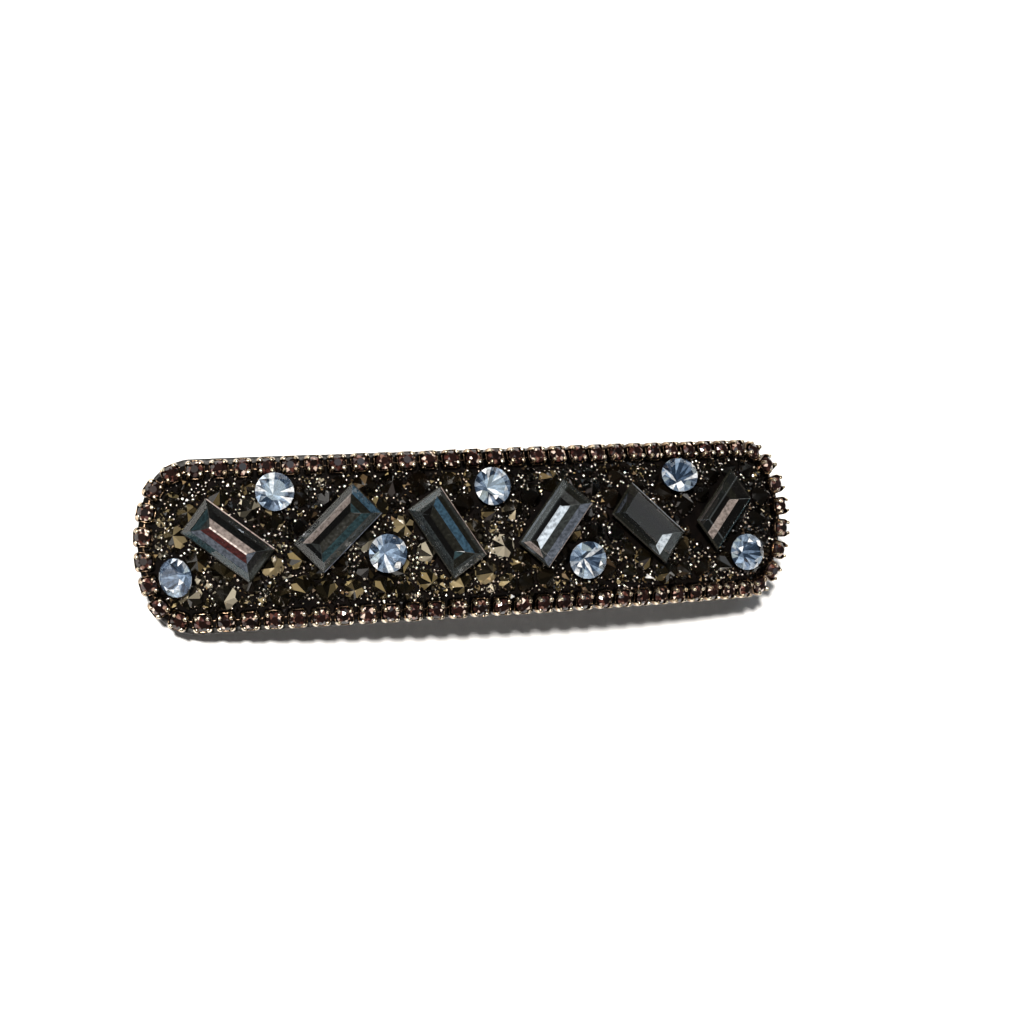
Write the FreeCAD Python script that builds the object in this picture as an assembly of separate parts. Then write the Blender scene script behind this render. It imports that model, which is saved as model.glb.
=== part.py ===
import FreeCAD, Part
import math
import os
import random

# Rhinestone hair clip: an arched, crowned pad of set stones on a spring barrette.
# Millimetres and degrees. The pad is laid out flat, along its length (u), across it (v) and up
# from its surface (h), then bent over a long arch and a short crown. -Y is the front edge, the
# hinge is at -X and the catch at +X.

# Pad
ARCH_RADIUS = 120.0        # lengthwise curve of the pad's crest
CROWN_RADIUS = 36.0        # crosswise curve of the pad's top
BED_DEPTH = 1.9            # resin bed at its middle
BED_MARGIN = 0.75          # bed edge beyond the middle line of the border chain
LEATHER_DEPTH = 0.9
LEATHER_MARGIN_HINGE = 1.5         # the sheet is cut wider at the hinge end, where it shows
LEATHER_MARGIN_CATCH = 0.8         # beside the cups, and narrower at the catch end
LEATHER_MARGIN_TIP = 0.85
SEAT_GAP = 0.03            # film of glue under every setting

# Border chain: square cups, each with one round stone
CHAIN_PITCH = 2.8
CHAIN_COUNT = 70
CHAIN_ACROSS = 8.9         # middle line of the front and rear rows
CORNER_RADIUS = 5.0
END_RADIUS = 18.0          # bulge of both ends
FRONT_ROW = 27             # cups on each straight row
CUP_SIDE = 2.45
CUP_CORNER = 0.6
CUP_FLOOR = 0.25
CUP_WALL = 0.17
CUP_WALL_TOP = 0.9
PRONG_FROM = 0.8           # the walls rise into prongs beyond this far from the cup's middle
PRONG_TOP = 1.6
LINK_WIDTH = 0.3
LINK_DEPTH = 0.16
LINK_GAP = 0.07
CHAIN_STONE_RADIUS = 1.04
CHAIN_STONE_CULET = 0.3    # heights above the cup's underside
CHAIN_STONE_GIRDLE = 0.88
CHAIN_STONE_TABLE = 1.44
CHAIN_STONE_TABLE_SHARE = 0.6      # table's share of the girdle's width
THIN_GIRDLE = 0.1

# Large stones
BAGUETTE_LENGTH = 10.0
BAGUETTE_WIDTH = 5.0
BAGUETTE_COUNT = 6
BAGUETTE_PITCH = 12.85
BAGUETTE_GIRDLE = 2.0      # girdle above the bed
BAGUETTE_CROWN = [(0.8, 2.86), (1.5, 3.1)]         # steps: inset, height above the bed
BAGUETTE_PAVILION = (0.7, 0.75, 1.15)              # step: inset at the ends, at the sides, height
KEEL_SETBACK = 2.3         # keel stops short of each end
KEEL_HALF_WIDTH = 0.12
ROUND_RADIUS = 2.35
ROUND_PITCH = 12.6
ROUND_GIRDLE = 2.1
ROUND_TOP = 3.15
ROUND_SIDES = 16
ROUND_TABLE_SHARE = 0.56
CULET_GAP = 0.12
GIRDLE_DEPTH = 0.22
STONE_CLEARANCE = 0.15     # from a large stone's girdle to the tips of its neighbours
# each hand-set stone's own place: shift along, place across, turn
BAGUETTE_SET = [(-0.8, 0.5, -39), (-0.9, 1.3, 43), (-0.8, 0.2, -58),
                (0.2, 0.7, 50), (0.3, 0.1, -40), (-0.6, 1.3, 40)]
ROUND_SET = [(-1.3, -3.3), (-2.1, 5.7), (-1.9, -1.8), (-1.2, 5.2),
             (-1.8, -3.8), (-0.3, 5.6), (-2.6, -4.0)]

# Fill between them: pointed stones set upside down
FILL_SIZES = [(1.45, 1.8, 6000), (1.2, 1.55, 6000), (0.9, 1.2, 8000),
              (0.62, 0.9, 12000), (0.42, 0.65, 16000)]        # radius, height, tries
FILL_SIDES = 8
FILL_RIM = 0.2
FILL_SPACING = 0.04
FILL_SEED = 11

# Barrette base plate
PLATE_DEPTH = 0.7
PLATE_WIDTH = 9.0
PLATE_HALF = 40.0          # half length along the arch
GLUE_HOLES = [(-25.0, 1.0), (-8.0, 1.6), (8.0, 1.6), (22.0, 1.0)]        # along, radius

# Hinge
PIN_ALONG = -38.5
PIN_DROP = 1.7             # pin middle below the plate
PIN_RADIUS = 0.6
PIN_HEAD_RADIUS = 0.95
PIN_HEAD_DEPTH = 0.25
PIN_FIT = 0.02
HINGE_FIT = 0.05
EAR_RADIUS = 1.6
EAR_DEPTH = 0.7
KNUCKLE_RADIUS = 1.1
KNUCKLE_IN = 1.9
KNUCKLE_OUT = 3.6
KNUCKLE_ROOM = 0.3         # round the bar's eye

# Tension bar, a thin spring leaf under the plate
BAR_DEPTH = 0.4
BAR_HALF_WIDTH = 2.4
BAR_EYE_RADIUS = 1.0
BAR_EYE_HALF = 1.6
BAR_NECK = 2.2             # the leaf narrows this near to the pin, between the arm's knuckles
BAR_END = 27.0             # free end, along the arch
BAR_DROP = 1.8             # its fall from the plate, in degrees about the pin

# Catch: a bridge riveted to the plate and two sprung legs
CATCH_ALONG = 37.5
CATCH_LEAN = 8.0
BRIDGE_DEPTH = 0.5
BRIDGE_HALF_LENGTH = 2.4
BRIDGE_HALF_WIDTH = 3.7
RIVET_RADIUS = 0.55
RIVET_HEAD_RADIUS = 0.95
RIVET_HEAD_DEPTH = 0.3
RIVET_ACROSS = 1.7
LEG_TOP = 0.35             # below the bridge
LEG_BOTTOM = 7.9
LEG_INNER = 2.9
LEG_OUTER = 3.4
LEG_BARB = 4.0
LEG_HALF_WIDTH = 1.7
BARB_TOP = 6.1             # below the bridge
BARB_LOW = 6.5

# Clasp arm
ARM_DEPTH = 0.8
ARM_HALF_WIDTH = 3.0
ARM_LOOP_LEVEL = 5.6       # arm middle below the bridge at the loop
LOOP_HALF_WIDTH = 4.7
LOOP_IN_HALF_WIDTH = 3.6
LOOP_HALF_LENGTH = 3.4
LOOP_IN_HALF_LENGTH = 2.2
LOOP_CORNER = 1.0

UP = FreeCAD.Vector(0, 0, 1)
ACROSS = FreeCAD.Vector(0, 1, 0)
PLATE_TOP = -(BED_DEPTH + LEATHER_DEPTH)
PLATE_UNDER = PLATE_TOP - PLATE_DEPTH
AMPLE = 10.0               # longer than anything a cutting tool has to pass through


def turn(axis, angle):
    return FreeCAD.Rotation(axis, angle)


def arch_place(along, across, height, lean=None):
    """A frame on the arch; it leans with the arch unless another lean is given."""
    angle = along / ARCH_RADIUS
    reach = ARCH_RADIUS + height
    point = FreeCAD.Vector(reach * math.sin(angle), across, reach * math.cos(angle) - ARCH_RADIUS)
    return FreeCAD.Placement(point, turn(ACROSS, math.degrees(angle) if lean is None else lean))


def pad_place(along, across, height, spin):
    """A frame on the crowned top of the pad, with its Z along the surface's normal."""
    crown = across / CROWN_RADIUS
    reach = CROWN_RADIUS + height
    station = arch_place(along, reach * math.sin(crown), reach * math.cos(crown) - CROWN_RADIUS)
    tip = turn(FreeCAD.Vector(1, 0, 0), -math.degrees(crown))
    return FreeCAD.Placement(station.Base, station.Rotation * tip * turn(UP, spin))


def placed(shape, place):
    copy = shape.copy()
    copy.Placement = place * copy.Placement
    return copy


def box(low, high):
    size = [b - a for a, b in zip(low, high)]
    return Part.makeBox(*size, FreeCAD.Vector(*low))


def bar_across(radius, low, high, x=0.0, z=0.0):
    """A cylinder along Y."""
    return Part.makeCylinder(radius, high - low, FreeCAD.Vector(x, low, z), ACROSS)


def stack(rings):
    """A faceted solid through rings of points, closed by a flat face or a point at each end."""
    faces = []
    for lower, upper in zip(rings, rings[1:]):
        count = max(len(lower), len(upper))
        for i in range(count):
            j = (i + 1) % count
            corners = [lower[i % len(lower)], lower[j % len(lower)]]
            corners += [upper[j % len(upper)], upper[i % len(upper)]]
            corners = [c for k, c in enumerate(corners) if c != corners[k - 1]]
            faces.append(Part.Face(Part.makePolygon(corners + corners[:1])))
    for ring in (rings[0], rings[-1]):
        if len(ring) > 1:
            faces.append(Part.Face(Part.makePolygon(ring + ring[:1])))
    solid = Part.Solid(Part.Shell(faces))
    if solid.Volume < 0:
        solid.reverse()
    return solid


def regular(radius, sides, z, start=0.5):
    step = 2 * math.pi / sides
    return [FreeCAD.Vector(radius * math.cos((i + start) * step), radius * math.sin((i + start) * step), z)
            for i in range(sides)]


def oblong(half_length, half_width, z):
    corners = ((1, 1), (-1, 1), (-1, -1), (1, -1))
    return [FreeCAD.Vector(sx * half_length, sy * half_width, z) for sx, sy in corners]


def point(z):
    return [FreeCAD.Vector(0, 0, z)]


# ---- the border's middle line -------------------------------------------------------------------

QUARTER = CHAIN_PITCH * CHAIN_COUNT / 4
END_SWEEP = math.asin((CHAIN_ACROSS - CORNER_RADIUS) / (END_RADIUS - CORNER_RADIUS))
CORNER_SWEEP = math.pi / 2 - END_SWEEP
CORNER_ALONG = QUARTER - CORNER_RADIUS * CORNER_SWEEP - END_RADIUS * END_SWEEP
END_CENTRE = CORNER_ALONG - (END_RADIUS - CORNER_RADIUS) * math.cos(END_SWEEP)


def border(distance):
    """Along, across and heading at a distance round the border from the middle of the front."""
    distance %= 4 * QUARTER
    if distance > 2 * QUARTER:
        u, v, heading = border(4 * QUARTER - distance)
        return -u, v, -heading
    if distance > QUARTER:
        u, v, heading = border(2 * QUARTER - distance)
        return u, -v, 180 - heading
    if distance <= CORNER_ALONG:
        return distance, -CHAIN_ACROSS, 0.0
    sweep = (distance - CORNER_ALONG) / CORNER_RADIUS
    if sweep <= CORNER_SWEEP:
        u = CORNER_ALONG + CORNER_RADIUS * math.sin(sweep)
        v = CORNER_RADIUS * (1 - math.cos(sweep)) - CHAIN_ACROSS
        return u, v, math.degrees(sweep)
    sweep = (distance - QUARTER) / END_RADIUS
    return END_CENTRE + END_RADIUS * math.cos(sweep), END_RADIUS * math.sin(sweep), 90 + math.degrees(sweep)


def inside_border(u, v, inset):
    """True where a point lies inside the border's middle line by more than the inset."""
    u, v = abs(u), abs(v)
    corner_across = CHAIN_ACROSS - CORNER_RADIUS
    if v > CHAIN_ACROSS - inset:
        return False
    if u <= CORNER_ALONG:
        return True
    if v > corner_across:
        return math.hypot(u - CORNER_ALONG, v - corner_across) <= CORNER_RADIUS - inset
    return math.hypot(u - END_CENTRE, v) <= END_RADIUS - inset


# ---- pad sheets ---------------------------------------------------------------------------------

def end_waste(margin, tip_margin):
    """What to cut off the +X end of a sheet to leave the border's outline plus its margins."""
    depth = AMPLE
    reach = QUARTER - CORNER_ALONG + 1
    across = CHAIN_ACROSS - CORNER_RADIUS
    tip = END_CENTRE + END_RADIUS + tip_margin - CORNER_ALONG
    mid = -math.pi / 2 + CORNER_SWEEP / 2
    end = -END_SWEEP

    def on_corner(angle, side, beyond):
        radius = CORNER_RADIUS + beyond
        return FreeCAD.Vector(radius * math.cos(angle), side * (radius * math.sin(angle) - across), -depth)

    def corner(side):
        return [on_corner(-math.pi / 2, side, margin), on_corner(mid, side, (margin + tip_margin) / 2),
                on_corner(end, side, tip_margin)]

    front = Part.Arc(*corner(1)).toShape()
    nose = Part.Arc(corner(1)[-1], FreeCAD.Vector(tip, 0, -depth), corner(-1)[-1]).toShape()
    rear = Part.Arc(*corner(-1)[::-1]).toShape()
    wide = CHAIN_ACROSS + margin
    back = [FreeCAD.Vector(0, wide, -depth), FreeCAD.Vector(-1, wide, -depth),
            FreeCAD.Vector(-1, -wide, -depth), FreeCAD.Vector(0, -wide, -depth)]
    outline = Part.Wire([front, nose, rear] + Part.makePolygon(back).Edges)
    keep = Part.Face(outline).extrude(FreeCAD.Vector(0, 0, 2 * depth))
    return box((0, -wide - 1, -depth + 1), (reach, wide + 1, depth - 1)).cut(keep)


def bent(profile, half_along):
    """A closed outline in the YZ plane, swept along the arch to both sides of the middle."""
    angle = math.degrees(half_along / ARCH_RADIUS)
    centre = FreeCAD.Vector(0, 0, -ARCH_RADIUS)
    start = Part.Face(Part.Wire(profile))
    start.rotate(centre, ACROSS, -angle)
    return start.revolve(centre, ACROSS, 2 * angle)


def flat_profile(half_width, low, high):
    corners = [FreeCAD.Vector(0, y, z) for y, z in
               ((-half_width, low), (half_width, low), (half_width, high), (-half_width, high))]
    return Part.makePolygon(corners + corners[:1]).Edges


def trimmed(sheet, hinge_margin, catch_margin, tip_margin):
    for side, margin in ((1, catch_margin), (-1, hinge_margin)):
        spin = turn(UP, 0 if side == 1 else 180)
        station = arch_place(side * CORNER_ALONG, 0, 0)
        station = FreeCAD.Placement(station.Base, station.Rotation * spin)
        sheet = sheet.cut(placed(end_waste(margin, tip_margin), station))
    return sheet


def glue_bed():
    half = CHAIN_ACROSS + BED_MARGIN
    edge = math.sqrt(CROWN_RADIUS ** 2 - half ** 2) - CROWN_RADIUS
    low_front = FreeCAD.Vector(0, -half, -BED_DEPTH)
    low_rear = FreeCAD.Vector(0, half, -BED_DEPTH)
    top_front = FreeCAD.Vector(0, -half, edge)
    top_rear = FreeCAD.Vector(0, half, edge)
    profile = Part.makePolygon([top_front, low_front, low_rear, top_rear]).Edges
    profile.append(Part.Arc(top_rear, FreeCAD.Vector(0, 0, 0), top_front).toShape())
    return trimmed(bent(profile, QUARTER), BED_MARGIN, BED_MARGIN, BED_MARGIN)


def leather_backing():
    middle = CHAIN_ACROSS + (LEATHER_MARGIN_HINGE + LEATHER_MARGIN_CATCH) / 2
    taper = (LEATHER_MARGIN_HINGE - LEATHER_MARGIN_CATCH) / (2 * CORNER_ALONG)
    hinge = middle + taper * QUARTER
    catch = middle - taper * QUARTER
    corners = [FreeCAD.Vector(x, y, -QUARTER) for x, y in
               ((-QUARTER, -hinge), (QUARTER, -catch), (QUARTER, catch), (-QUARTER, hinge))]
    wedge = Part.Face(Part.makePolygon(corners + corners[:1]))
    sheet = bent(flat_profile(hinge + 1, PLATE_TOP, -BED_DEPTH), QUARTER)
    sheet = sheet.common(wedge.extrude(FreeCAD.Vector(0, 0, 2 * QUARTER)))
    return trimmed(sheet, LEATHER_MARGIN_HINGE, LEATHER_MARGIN_CATCH, LEATHER_MARGIN_TIP)


# ---- border chain -------------------------------------------------------------------------------

def upright_edges(shape):
    return [edge for edge in shape.Edges if abs(edge.tangentAt(edge.FirstParameter).z) > 0.9]


def rounded_block(half, corner, low, high):
    block = box((-half, -half, low), (half, half, high))
    return block.makeFillet(corner, upright_edges(block))


def cup():
    """A stamped square cup whose corners rise into four prongs."""
    half = CUP_SIDE / 2
    body = rounded_block(half, CUP_CORNER, 0, PRONG_TOP)
    body = body.cut(rounded_block(half - CUP_WALL, CUP_CORNER - CUP_WALL, CUP_FLOOR, 2 * PRONG_TOP))
    body = body.cut(box((-half, -PRONG_FROM, CUP_WALL_TOP), (half, PRONG_FROM, PRONG_TOP)))
    return body.cut(box((-PRONG_FROM, -half, CUP_WALL_TOP), (PRONG_FROM, half, PRONG_TOP)))


def chain_stone():
    r = CHAIN_STONE_RADIUS
    girdle = CHAIN_STONE_GIRDLE
    return stack([point(CHAIN_STONE_CULET), regular(r, 8, girdle), regular(r, 8, girdle + THIN_GIRDLE),
                  regular(CHAIN_STONE_TABLE_SHARE * r, 8, CHAIN_STONE_TABLE)])


def chain_link():
    half_gap = (CHAIN_PITCH - CUP_SIDE) / 2 - LINK_GAP
    return box((-half_gap, -LINK_WIDTH / 2, 0), (half_gap, LINK_WIDTH / 2, LINK_DEPTH))


def chain_parts():
    """Cups, stones and links of the border, in four runs."""
    half_row = FRONT_ROW // 2
    half_lap = CHAIN_COUNT // 2
    runs = {"front": range(-half_row, half_row + 1),
            "catch_end": range(half_row + 1, half_lap - half_row),
            "rear": range(half_lap - half_row, half_lap + half_row + 1),
            "hinge_end": range(half_lap + half_row + 1, CHAIN_COUNT - half_row)}
    nodes = {}
    for run, cups in runs.items():
        seats = [pad_at_border(k) for k in cups]
        nodes["chain_cups_" + run] = Part.Compound([placed(cup(), seat) for seat in seats])
        nodes["chain_stones_" + run] = Part.Compound([placed(chain_stone(), seat) for seat in seats])
        gaps = [pad_at_border(k + 0.5) for k in cups]
        nodes["chain_links_" + run] = Part.Compound([placed(chain_link(), gap) for gap in gaps])
    return nodes


def pad_at_border(step):
    u, v, heading = border(step * CHAIN_PITCH)
    return pad_place(u, v, SEAT_GAP, heading)


# ---- large stones -------------------------------------------------------------------------------

def baguette():
    half_length = BAGUETTE_LENGTH / 2
    half_width = BAGUETTE_WIDTH / 2
    end_inset, side_inset, height = BAGUETTE_PAVILION
    steps = [(half_length - KEEL_SETBACK, KEEL_HALF_WIDTH, CULET_GAP),
             (half_length - end_inset, half_width - side_inset, height),
             (half_length, half_width, BAGUETTE_GIRDLE),
             (half_length, half_width, BAGUETTE_GIRDLE + GIRDLE_DEPTH)]
    steps += [(half_length - inset, half_width - inset, height) for inset, height in BAGUETTE_CROWN]
    return stack([oblong(*step) for step in steps])


def round_stone():
    r = ROUND_RADIUS
    girdle = ROUND_GIRDLE
    return stack([point(CULET_GAP), regular(r, ROUND_SIDES, girdle),
                  regular(r, ROUND_SIDES, girdle + GIRDLE_DEPTH),
                  regular(ROUND_TABLE_SHARE * r, ROUND_SIDES, ROUND_TOP)])


def baguette_places():
    middle = (BAGUETTE_COUNT - 1) / 2
    return [((i - middle) * BAGUETTE_PITCH + shift, across, spin)
            for i, (shift, across, spin) in enumerate(BAGUETTE_SET)]


def round_places():
    middle = (len(ROUND_SET) - 1) / 2
    return [((i - middle) * ROUND_PITCH + shift, across) for i, (shift, across) in enumerate(ROUND_SET)]


# ---- fill stones --------------------------------------------------------------------------------

def clear_of_stones(u, v):
    """True where a pointed stone's tip stands clear of every large stone's girdle."""
    margin = STONE_CLEARANCE
    for along, across, spin in baguette_places():
        a = math.radians(spin)
        x = (u - along) * math.cos(a) + (v - across) * math.sin(a)
        y = (v - across) * math.cos(a) - (u - along) * math.sin(a)
        if abs(x) < BAGUETTE_LENGTH / 2 + margin and abs(y) < BAGUETTE_WIDTH / 2 + margin:
            return False
    reach = ROUND_RADIUS + margin
    return all(math.hypot(u - along, v - across) > reach for along, across in round_places())


def fill_places():
    """Tightly and irregularly packed places, the largest stones first."""
    chance = random.Random(FILL_SEED)
    edge = CUP_SIDE / 2 + FILL_SPACING
    found = []
    for radius, height, tries in FILL_SIZES:
        for _ in range(tries):
            u = chance.uniform(-QUARTER, QUARTER)
            v = chance.uniform(-CHAIN_ACROSS, CHAIN_ACROSS)
            spin = chance.uniform(0, 360 / FILL_SIDES)
            if not inside_border(u, v, edge + radius) or not clear_of_stones(u, v):
                continue
            if all(math.hypot(u - a, v - b) > radius + r + FILL_SPACING for a, b, _, r, _ in found):
                found.append((u, v, spin, radius, height))
    return found


def fill_stone(radius, height):
    return stack([regular(radius, FILL_SIDES, 0), regular(radius, FILL_SIDES, FILL_RIM), point(height)])


def fill_parts():
    groups = {i: [] for i in range(BAGUETTE_COUNT)}
    for u, v, spin, radius, height in fill_places():
        nearest = min(groups, key=lambda i: abs(u - baguette_places()[i][0]))
        groups[nearest].append(placed(fill_stone(radius, height), pad_place(u, v, SEAT_GAP, spin)))
    return {"fill_stones_%d" % (i + 1): Part.Compound(solids) for i, solids in groups.items()}


# ---- barrette -----------------------------------------------------------------------------------

def base_plate():
    plate = bent(flat_profile(PLATE_WIDTH / 2, PLATE_UNDER, PLATE_TOP), PLATE_HALF)
    pin = pin_place()
    half = PLATE_WIDTH / 2
    for low, high in ((-half, EAR_DEPTH - half), (half - EAR_DEPTH, half)):
        ear = bar_across(EAR_RADIUS, low, high)
        ear = ear.fuse(box((-EAR_RADIUS, low, 0), (EAR_RADIUS, high, PIN_DROP + PLATE_DEPTH / 2)))
        plate = plate.fuse(placed(ear, pin))
    plate = plate.cut(placed(bar_across(PIN_RADIUS + PIN_FIT, -half - 1, half + 1), pin))
    for along, radius in GLUE_HOLES:
        hole = Part.makeCylinder(radius, 3 * PLATE_DEPTH, FreeCAD.Vector(0, 0, -PLATE_DEPTH))
        plate = plate.cut(placed(hole, arch_place(along, 0, PLATE_UNDER)))
    for place in rivet_places():
        hole = Part.makeCylinder(RIVET_RADIUS, 3 * PLATE_DEPTH, FreeCAD.Vector(0, 0, -PLATE_DEPTH))
        plate = plate.cut(placed(hole, place))
    return plate.removeSplitter()


def pin_place():
    return arch_place(PIN_ALONG, 0, PLATE_UNDER - PIN_DROP)


def hinge_pin():
    half = PLATE_WIDTH / 2 + PIN_FIT
    pin = bar_across(PIN_RADIUS, -half - PIN_HEAD_DEPTH, half + PIN_HEAD_DEPTH)
    pin = pin.fuse(bar_across(PIN_HEAD_RADIUS, -half - PIN_HEAD_DEPTH, -half))
    pin = pin.fuse(bar_across(PIN_HEAD_RADIUS, half, half + PIN_HEAD_DEPTH))
    return placed(pin.removeSplitter(), pin_place())


def tension_bar():
    under = -BAR_EYE_RADIUS - BAR_DEPTH / 2
    top = PLATE_UNDER - PIN_DROP + BAR_EYE_RADIUS
    leaf = bent(flat_profile(BAR_HALF_WIDTH, top - BAR_DEPTH, top), PLATE_HALF)
    middle = (PIN_ALONG + BAR_END) / 2
    reach = (BAR_END - PIN_ALONG) / 2
    window = box((-reach, -BAR_HALF_WIDTH, -AMPLE), (reach, BAR_HALF_WIDTH, AMPLE))
    leaf = leaf.common(placed(window, arch_place(middle, 0, top)))
    waste = box((-1, -BAR_HALF_WIDTH - 1, under), (BAR_NECK, -BAR_EYE_HALF, 2 * BAR_EYE_RADIUS))
    neck = placed(waste, pin_place())
    leaf = leaf.cut(neck).cut(neck.mirror(FreeCAD.Vector(), ACROSS))
    eye = bar_across(BAR_EYE_RADIUS, -BAR_EYE_HALF, BAR_EYE_HALF)
    leaf = leaf.fuse(placed(eye, pin_place()))
    bore = bar_across(PIN_RADIUS + HINGE_FIT, -BAR_EYE_HALF - 1, BAR_EYE_HALF + 1)
    leaf = leaf.cut(placed(bore, pin_place())).removeSplitter()
    leaf.rotate(pin_place().Base, ACROSS, BAR_DROP)
    return leaf


def catch_place():
    return arch_place(CATCH_ALONG, 0, PLATE_UNDER - BRIDGE_DEPTH, CATCH_LEAN)


def rivet_places():
    return [arch_place(CATCH_ALONG, side * RIVET_ACROSS, PLATE_UNDER) for side in (-1, 1)]


def catch_bridge():
    bridge = bent(flat_profile(BRIDGE_HALF_WIDTH, PLATE_UNDER - BRIDGE_DEPTH, PLATE_UNDER), PLATE_HALF)
    window = box((-BRIDGE_HALF_LENGTH, -AMPLE, -AMPLE), (BRIDGE_HALF_LENGTH, AMPLE, AMPLE))
    bridge = bridge.common(placed(window, arch_place(CATCH_ALONG, 0, PLATE_UNDER)))
    for place in rivet_places():
        hole = Part.makeCylinder(RIVET_RADIUS, 4 * BRIDGE_DEPTH, FreeCAD.Vector(0, 0, -2 * BRIDGE_DEPTH))
        bridge = bridge.cut(placed(hole, place))
    return bridge


def catch_rivets():
    shank_top = PLATE_DEPTH - SEAT_GAP
    shank = Part.makeCylinder(RIVET_RADIUS, shank_top + BRIDGE_DEPTH, FreeCAD.Vector(0, 0, -BRIDGE_DEPTH))
    low = BRIDGE_DEPTH + RIVET_HEAD_DEPTH + SEAT_GAP
    head = Part.makeCylinder(RIVET_HEAD_RADIUS, RIVET_HEAD_DEPTH, FreeCAD.Vector(0, 0, -low))
    neck = Part.makeCylinder(RIVET_RADIUS, 2 * SEAT_GAP, FreeCAD.Vector(0, 0, -BRIDGE_DEPTH - SEAT_GAP))
    rivet = shank.fuse(neck).fuse(head).removeSplitter()
    return Part.Compound([placed(rivet, place) for place in rivet_places()])


def pinch_leg(side):
    """One leg of the catch, a thin plate whose arrow-shaped barb faces outwards."""
    outline = [(LEG_INNER, -LEG_TOP), (LEG_OUTER, -LEG_TOP), (LEG_OUTER, -BARB_TOP), (LEG_BARB, -BARB_TOP),
               (LEG_BARB, -BARB_LOW), (LEG_OUTER, -LEG_BOTTOM), (LEG_INNER, -LEG_BOTTOM)]
    corners = [FreeCAD.Vector(-LEG_HALF_WIDTH, side * y, z) for y, z in outline]
    side_face = Part.Face(Part.makePolygon(corners + corners[:1]))
    return placed(side_face.extrude(FreeCAD.Vector(2 * LEG_HALF_WIDTH, 0, 0)), catch_place())


def clasp_arm():
    """Curved strip from the pin to a loop that drops over the catch's legs."""
    pin = pin_place()
    catch = catch_place()
    level = ARM_DEPTH / 2 - KNUCKLE_RADIUS
    start = pin.Base + FreeCAD.Vector(0, 0, level)
    end = catch.multVec(FreeCAD.Vector(-LOOP_HALF_LENGTH, 0, -ARM_LOOP_LEVEL))
    chord = end - start
    fall = math.degrees(math.atan2(-chord.z, chord.x))
    bend = math.radians(CATCH_LEAN - fall)
    radius = chord.Length / 2 / math.sin(bend)
    middle = (start + end) * 0.5
    normal = FreeCAD.Vector(-chord.z, 0, chord.x).normalize()
    centre = middle - normal * (radius * math.cos(bend))

    def at(reach, origin):
        return centre + (origin - centre).normalize() * reach

    crest = middle + normal
    outer, inner = radius + ARM_DEPTH / 2, radius - ARM_DEPTH / 2
    sides = [Part.Arc(at(outer, start), at(outer, crest), at(outer, end)).toShape(),
             Part.LineSegment(at(outer, end), at(inner, end)).toShape(),
             Part.Arc(at(inner, end), at(inner, crest), at(inner, start)).toShape(),
             Part.LineSegment(at(inner, start), at(outer, start)).toShape()]
    strip = Part.Face(Part.Wire(sides)).extrude(ACROSS * (2 * ARM_HALF_WIDTH))
    strip.translate(ACROSS * -ARM_HALF_WIDTH)
    low, high = -ARM_LOOP_LEVEL - ARM_DEPTH / 2, -ARM_LOOP_LEVEL + ARM_DEPTH / 2
    loop = box((-LOOP_HALF_LENGTH, -LOOP_HALF_WIDTH, low), (LOOP_HALF_LENGTH, LOOP_HALF_WIDTH, high))
    loop = loop.makeFillet(LOOP_CORNER, upright_edges(loop))
    loop = loop.cut(box((-LOOP_IN_HALF_LENGTH, -LOOP_IN_HALF_WIDTH, low - 1),
                        (LOOP_IN_HALF_LENGTH, LOOP_IN_HALF_WIDTH, high + 1)))
    arm = strip.fuse(placed(loop, catch))
    for side in (-1, 1):
        near, far = sorted((side * KNUCKLE_IN, side * KNUCKLE_OUT))
        arm = arm.fuse(placed(bar_across(KNUCKLE_RADIUS, near, far), pin))
    room = bar_across(KNUCKLE_RADIUS + KNUCKLE_ROOM, -KNUCKLE_IN, KNUCKLE_IN)
    bore = bar_across(PIN_RADIUS + HINGE_FIT, -KNUCKLE_OUT - 1, KNUCKLE_OUT + 1)
    return arm.cut(placed(room, pin)).cut(placed(bore, pin)).removeSplitter()


def all_parts():
    nodes = {"glue_bed": glue_bed(), "leather_backing": leather_backing(), "base_plate": base_plate(),
             "hinge_pin": hinge_pin(), "tension_bar": tension_bar(), "clasp_arm": clasp_arm(),
             "catch_bridge": catch_bridge(), "catch_rivets": catch_rivets(),
             "pinch_leg_front": pinch_leg(-1), "pinch_leg_rear": pinch_leg(1)}
    nodes.update(chain_parts())
    nodes.update(fill_parts())
    for i, (along, across, spin) in enumerate(baguette_places()):
        nodes["baguette_%d" % (i + 1)] = placed(baguette(), pad_place(along, across, 0, spin))
    for i, (along, across) in enumerate(round_places()):
        nodes["round_stone_%d" % (i + 1)] = placed(round_stone(), pad_place(along, across, 0, 0))
    return nodes


def resting(nodes):
    """The placement that stands the clip on its hinge ears and catch legs, over the origin."""
    pin = pin_place().Base
    foot = catch_place().multVec(FreeCAD.Vector(0, 0, -LEG_BOTTOM))
    tilt = math.degrees(math.atan2(pin.z - EAR_RADIUS - foot.z, foot.x - pin.x))
    tipped = FreeCAD.Placement(FreeCAD.Vector(), turn(ACROSS, -tilt))
    whole = Part.Compound([placed(shape, tipped) for shape in nodes.values()])
    bounds = whole.optimalBoundingBox(True, False)
    shift = FreeCAD.Vector(-(bounds.XMin + bounds.XMax) / 2, -(bounds.YMin + bounds.YMax) / 2, -bounds.ZMin)
    return FreeCAD.Placement(shift, turn(ACROSS, -tilt))


os.makedirs("parts", exist_ok=True)
parts = all_parts()
rest = resting(parts)
for name, shape in parts.items():
    placed(shape, rest).exportStep("parts/" + name + ".step")

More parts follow.
